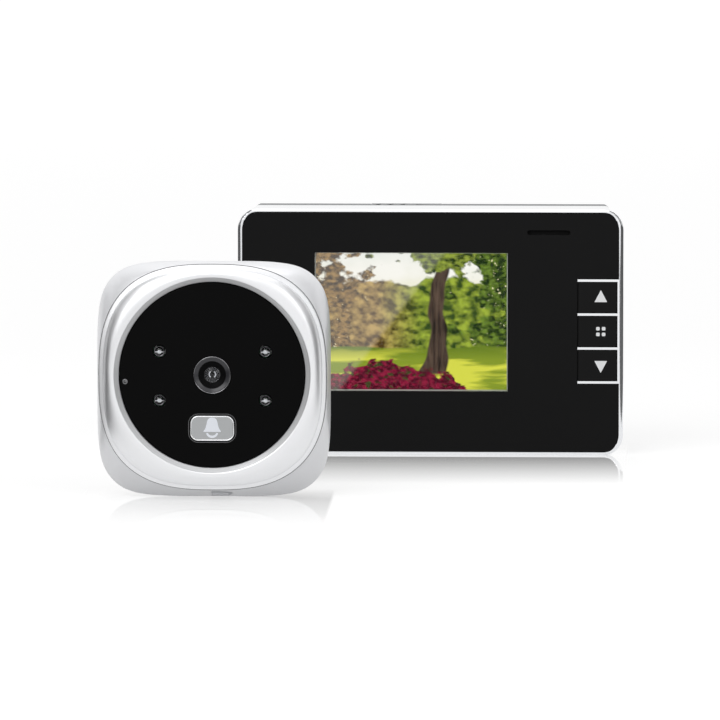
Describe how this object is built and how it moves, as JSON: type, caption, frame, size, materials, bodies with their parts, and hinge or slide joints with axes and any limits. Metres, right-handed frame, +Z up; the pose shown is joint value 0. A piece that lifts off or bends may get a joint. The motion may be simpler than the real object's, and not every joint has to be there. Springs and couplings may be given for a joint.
{
  "type": "peephole door camera",
  "caption": "Outdoor camera unit with lens, infrared lamps and doorbell button, and an indoor monitor with a screen and keys, standing as a pair.",
  "frame": {"origin": "centre of the monitor's bottom face, on the surface that both units stand on", "axes": "+Z up, the fronts of both units face -Y, +X to the viewer's right"},
  "size_m": [0.1499, 0.1468, 0.0732],
  "materials": {
    "silver_frame": "polished silver lacquer on moulded ABS",
    "black_acrylic": "polished black acrylic",
    "clear_acrylic": "clear polished acrylic",
    "display_glass": "display glass with a picture",
    "white_plastic": "moulded white tray",
    "foam": "closed-cell black foam",
    "circuit_board": "green solder mask",
    "spring_steel": "nickel-plated spring steel",
    "screw_steel": "zinc-plated steel",
    "speaker_metal": "pressed steel with a black cone",
    "grey_shell": "fine-textured silver-grey ABS",
    "black_keys": "polished black keys",
    "black_plastic": "moulded black plastic",
    "battery_wrap": "printed steel can",
    "silver_shell": "satin silver paint on ABS",
    "lens_black": "black anodised barrel",
    "optical_glass": "coated lens glass",
    "lamp_clear": "clear lamp epoxy",
    "button_silver": "silver plated push button",
    "rubber_black": "soft moulded rubber",
    "barrel_metal": "nickel-plated turned brass"
  },
  "bodies": {
    "housings": {"monitor_frame": "silver_frame", "front_panel": "black_acrylic", "screen_window": "clear_acrylic", "lcd_panel": "display_glass", "lcd_backlight": "white_plastic", "lcd_foam_strips": "foam", "key_switches": "spring_steel", "main_board": "circuit_board", "main_board_screws": "screw_steel", "speaker": "speaker_metal", "back_cover": "grey_shell", "battery_cells": "battery_wrap", "battery_contacts": "spring_steel", "camera_lead_socket": "white_plastic", "power_switch": "spring_steel", "back_cover_screws": "screw_steel", "camera_housing": "silver_shell", "camera_bezel": "silver_shell", "camera_window": "black_acrylic", "lens_barrel": "lens_black", "lens_glass": "optical_glass", "lens_mount": "black_plastic", "image_sensor": "black_plastic", "infrared_lamps": "lamp_clear", "doorbell_switch": "spring_steel", "microphone": "spring_steel", "microphone_boot": "rubber_black", "camera_board": "circuit_board", "camera_board_screws": "screw_steel", "camera_board_socket": "white_plastic", "threaded_barrel": "barrel_metal", "door_gasket": "foam", "housing_screws": "screw_steel"},
    "key_down": {"key_down": "black_keys"},
    "key_menu": {"key_menu": "black_keys"},
    "key_up": {"key_up": "black_keys"},
    "battery_cover": {"battery_cover": "grey_shell"},
    "power_slider": {"power_slider": "black_plastic"},
    "doorbell_button": {"doorbell_button": "button_silver"}
  },
  "joints": [
    {"name": "key_down_press", "type": "slide", "parent": "housings", "child": "key_down", "axis": [0, 1, 0], "range_m": [0, 0.0004], "stiffness_N_per_m": 500, "springref_m": -0.0005},
    {"name": "key_menu_press", "type": "slide", "parent": "housings", "child": "key_menu", "axis": [0, 1, 0], "range_m": [0, 0.0004], "stiffness_N_per_m": 500, "springref_m": -0.0005},
    {"name": "key_up_press", "type": "slide", "parent": "housings", "child": "key_up", "axis": [0, 1, 0], "range_m": [0, 0.0004], "stiffness_N_per_m": 500, "springref_m": -0.0005},
    {"name": "doorbell_button_press", "type": "slide", "parent": "housings", "child": "doorbell_button", "axis": [0, 1, 0], "range_m": [0, 0.0005], "stiffness_N_per_m": 600, "springref_m": -0.0005},
    {"name": "battery_cover_tilt", "type": "hinge", "parent": "housings", "child": "battery_cover", "pos_m": [-0.0077, 0.011, 0.033], "axis": [-1, 0, 0], "range_deg": [0, 40]},
    {"name": "power_slider_slide", "type": "slide", "parent": "housings", "child": "power_slider", "axis": [1, 0, 0], "range_m": [0, 0.004]}
  ]
}
